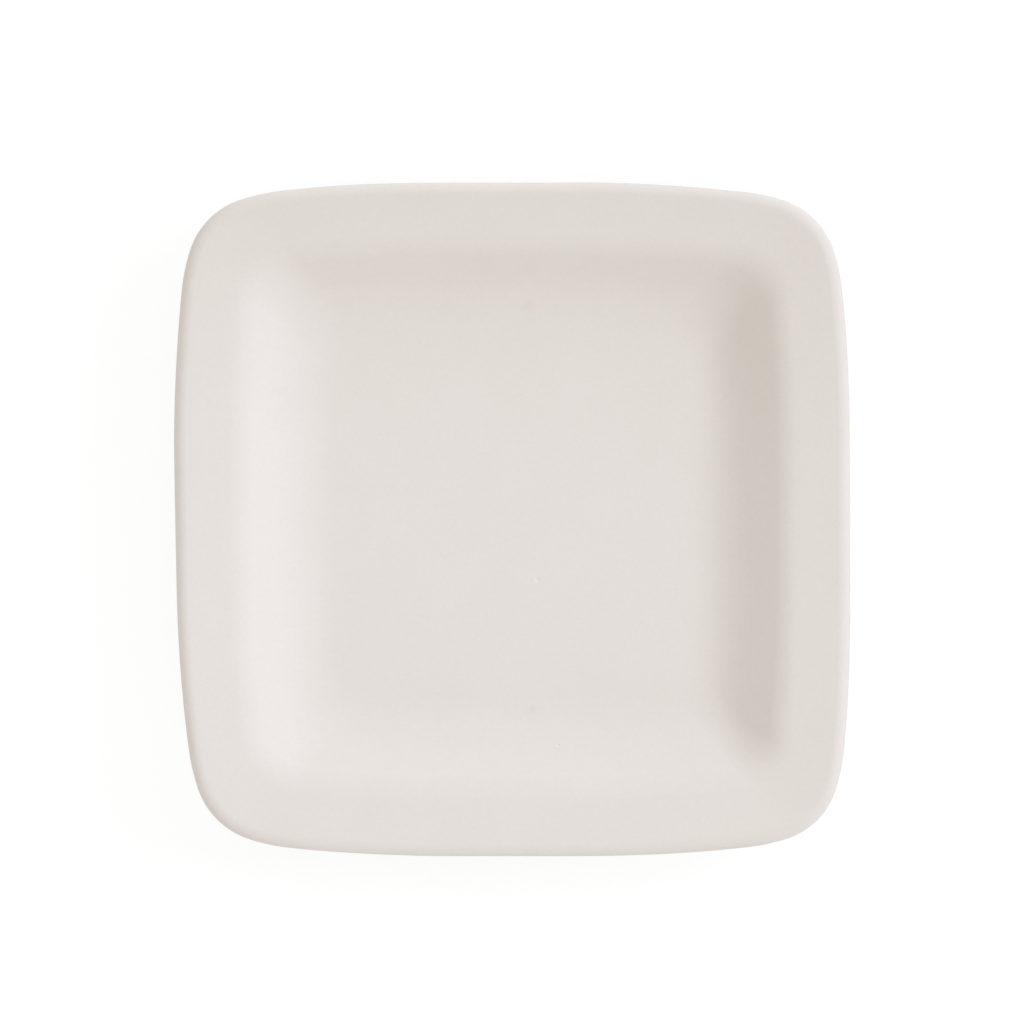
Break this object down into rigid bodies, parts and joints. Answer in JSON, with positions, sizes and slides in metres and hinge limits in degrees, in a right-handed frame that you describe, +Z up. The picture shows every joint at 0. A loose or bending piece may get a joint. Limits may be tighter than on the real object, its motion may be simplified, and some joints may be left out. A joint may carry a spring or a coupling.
{
  "type": "square salad plate",
  "caption": "Square salad plate in unglazed white ceramic, with bowed sides, round corners, a gently rising rim, a shallow square well and a foot ring to stand on.",
  "frame": {"origin": "middle of the foot ring, in the plane that the plate stands on", "axes": "+Z up out of the well, +X and +Y across the flat sides"},
  "size_m": [0.203, 0.203, 0.023],
  "materials": {
    "bisque": "matte, unglazed, with a very fine grain"
  },
  "bodies": {
    "root": {"plate_body": "bisque"}
  },
  "joints": []
}
